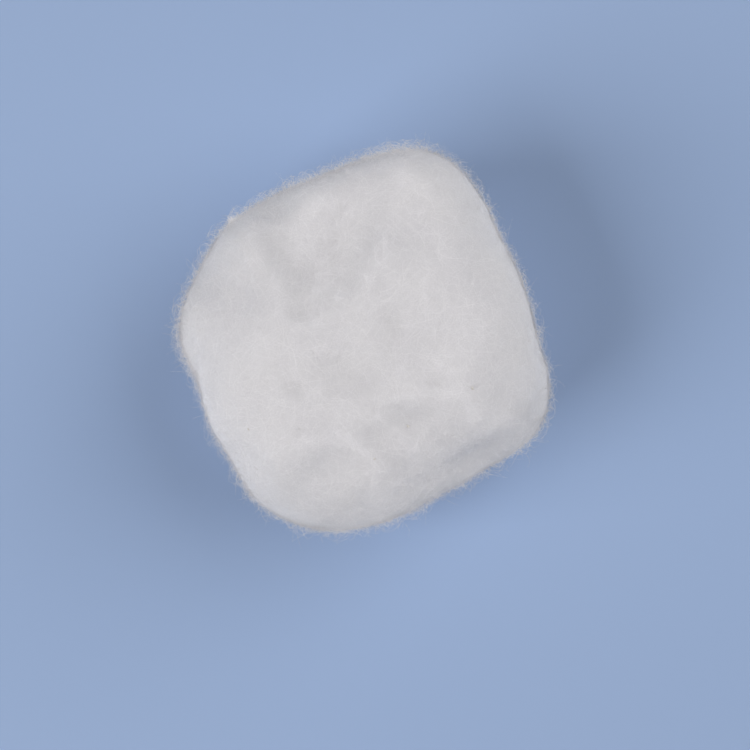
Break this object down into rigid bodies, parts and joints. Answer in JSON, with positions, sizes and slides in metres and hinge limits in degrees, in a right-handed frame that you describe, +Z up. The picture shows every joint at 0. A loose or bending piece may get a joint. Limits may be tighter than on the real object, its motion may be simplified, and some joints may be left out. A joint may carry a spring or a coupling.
{
  "type": "cotton ball",
  "caption": "Soft wad of bleached cotton, folded in and pressed into a five-cornered pillow, for dabbing, wiping and padding.",
  "frame": {"origin": "middle of the ball's box, on the surface that it rests on", "axes": "+Z up out of the crown, +Y along the ball's longer side in plan, towards its narrowest corner"},
  "size_m": [0.0366, 0.0378, 0.0215],
  "materials": {
    "cotton": "matt, fuzzy with loose fibres"
  },
  "bodies": {
    "root": {"cotton_ball": "cotton"}
  },
  "joints": []
}
